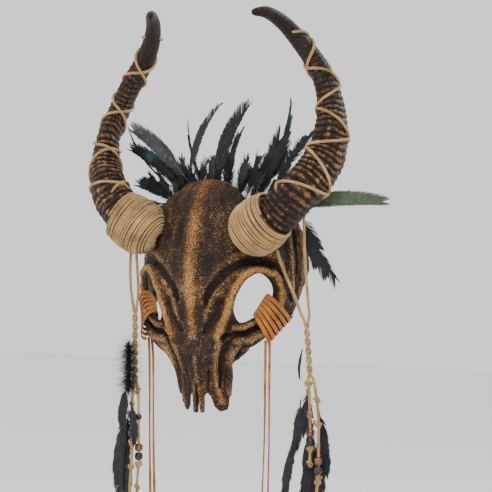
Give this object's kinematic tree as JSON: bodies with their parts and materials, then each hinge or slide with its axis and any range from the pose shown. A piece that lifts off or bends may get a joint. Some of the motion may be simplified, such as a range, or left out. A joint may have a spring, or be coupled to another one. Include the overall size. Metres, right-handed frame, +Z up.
{
  "type": "horned skull half-mask",
  "caption": "Horned animal-skull half-mask for a costume, with jute-bound horns, a feather crest, suede lacing and hanging beaded twine tassels.",
  "frame": {"origin": "the middle of the forehead pad's rear face, where the mask rests on a head", "axes": "+Y backwards out of the forehead pad into the head, +Z up, +X towards the wearer's left"},
  "size_m": [0.3256, 0.1696, 0.5536],
  "materials": {
    "skull": "moulded, dark brown with bronze and gold dry-brushed on the high grain",
    "horn": "ridged, dark brown rubbed with antique gold",
    "jute": "natural three-ply jute twine, hairy",
    "suede": "tan suede lace",
    "feather_black": "black feather, satin",
    "feather_green": "bronze-green iridescent feather",
    "bead_copper": "antique copper, polished by wear",
    "bead_gunmetal": "gunmetal, glossy",
    "foam": "cloth-covered soft foam",
    "elastic": "woven black elastic webbing",
    "felt": "dark felt",
    "steel": "dull zinc plate"
  },
  "bodies": {
    "root": {"cheek_lacing_left": "suede", "cheek_lacing_right": "suede", "crest_broad": "feather_black", "crest_curled": "feather_black", "crest_dark": "feather_black", "crest_forked": "feather_black", "crest_grey": "feather_black", "crest_low": "feather_black", "crest_middle": "feather_black", "crest_pointed": "feather_black", "crest_quill_long": "feather_black", "crest_quill_short": "feather_black", "crest_silver": "feather_black", "crest_teal": "feather_black", "elastic_strap": "elastic", "feather_band": "felt", "forehead_pad": "foam", "horn_lashing_left": "jute", "horn_lashing_right": "jute", "horn_left": "horn", "horn_right": "horn", "horn_screw_left": "steel", "horn_screw_right": "steel", "horn_washer_left": "steel", "horn_washer_right": "steel", "horn_wrap_left": "jute", "horn_wrap_right": "jute", "mask_shell": "skull", "strap_rivet_left": "steel", "strap_rivet_right": "steel", "temple_dark_right": "feather_black", "temple_drooping_left": "feather_black", "temple_drooping_right": "feather_black", "temple_green_left": "feather_green"},
    "tassel_right": {"twine_right_outer": "jute", "twine_right_inner": "jute", "marabou_right": "feather_black", "long_feather_right": "feather_black"},
    "tassel_left": {"twine_left_slack": "jute", "twine_left_long": "jute", "short_feather_left": "feather_black", "long_feather_left": "feather_black", "dark_feather_left": "feather_black"},
    "laces_left": {"lace_left_front": "suede", "lace_left_rear": "suede"},
    "laces_right": {"lace_right_front": "suede", "lace_right_rear": "suede"},
    "bead_left_copper": {"bead_left_copper": "bead_copper"},
    "bead_left_gunmetal": {"bead_left_gunmetal": "bead_gunmetal"},
    "bead_left_low_copper": {"bead_left_low_copper": "bead_copper"},
    "bead_left_low_gunmetal": {"bead_left_low_gunmetal": "bead_gunmetal"},
    "bead_right_copper": {"bead_right_copper": "bead_copper"},
    "bead_right_gunmetal": {"bead_right_gunmetal": "bead_gunmetal"},
    "bead_right_low_copper": {"bead_right_low_copper": "bead_copper"},
    "bead_right_low_gunmetal": {"bead_right_low_gunmetal": "bead_gunmetal"},
    "bead_right_small": {"bead_right_small": "bead_copper"}
  },
  "joints": [
    {"name": "tassel_swing_right", "type": "hinge", "parent": "root", "child": "tassel_right", "pos_m": [-0.081, -0.025, -0.013], "axis": [1, 0, 0], "range_deg": [-55, 3]},
    {"name": "tassel_swing_left", "type": "hinge", "parent": "root", "child": "tassel_left", "pos_m": [0.088, -0.016, -0.003], "axis": [0.5565, 0.2671, 0.7867], "range_deg": [-35, 15]},
    {"name": "lace_swing_left", "type": "hinge", "parent": "root", "child": "laces_left", "pos_m": [0.0735, -0.009, -0.1015], "axis": [1, 0, 0], "range_deg": [-55, 35]},
    {"name": "lace_swing_right", "type": "hinge", "parent": "root", "child": "laces_right", "pos_m": [-0.0735, -0.009, -0.1015], "axis": [1, 0, 0], "range_deg": [-55, 35]},
    {"name": "bead_left_copper_spin", "type": "hinge", "parent": "tassel_left", "child": "bead_left_copper", "pos_m": [0.1195, -0.0015, -0.1947], "axis": [0, 0, 1], "continuous": true},
    {"name": "bead_left_gunmetal_spin", "type": "hinge", "parent": "tassel_left", "child": "bead_left_gunmetal", "pos_m": [0.1195, -0.0015, -0.2043], "axis": [0, 0, 1], "continuous": true},
    {"name": "bead_left_low_copper_spin", "type": "hinge", "parent": "tassel_left", "child": "bead_left_low_copper", "pos_m": [0.1297, -0.0024, -0.224], "axis": [0, 0, 1], "continuous": true},
    {"name": "bead_left_low_gunmetal_spin", "type": "hinge", "parent": "tassel_left", "child": "bead_left_low_gunmetal", "pos_m": [0.1297, -0.0024, -0.2336], "axis": [0, 0, 1], "continuous": true},
    {"name": "bead_right_copper_spin", "type": "hinge", "parent": "tassel_right", "child": "bead_right_copper", "pos_m": [-0.081, -0.029, -0.183], "axis": [0, 0, 1], "continuous": true},
    {"name": "bead_right_gunmetal_spin", "type": "hinge", "parent": "tassel_right", "child": "bead_right_gunmetal", "pos_m": [-0.081, -0.029, -0.203], "axis": [0, 0, 1], "continuous": true},
    {"name": "bead_right_low_copper_spin", "type": "hinge", "parent": "tassel_right", "child": "bead_right_low_copper", "pos_m": [-0.0774, -0.021, -0.219], "axis": [0, 0, 1], "continuous": true},
    {"name": "bead_right_low_gunmetal_spin", "type": "hinge", "parent": "tassel_right", "child": "bead_right_low_gunmetal", "pos_m": [-0.0774, -0.021, -0.2286], "axis": [0, 0, 1], "continuous": true},
    {"name": "bead_right_small_spin", "type": "hinge", "parent": "tassel_right", "child": "bead_right_small", "pos_m": [-0.0774, -0.021, -0.186], "axis": [0, 0, 1], "continuous": true}
  ]
}
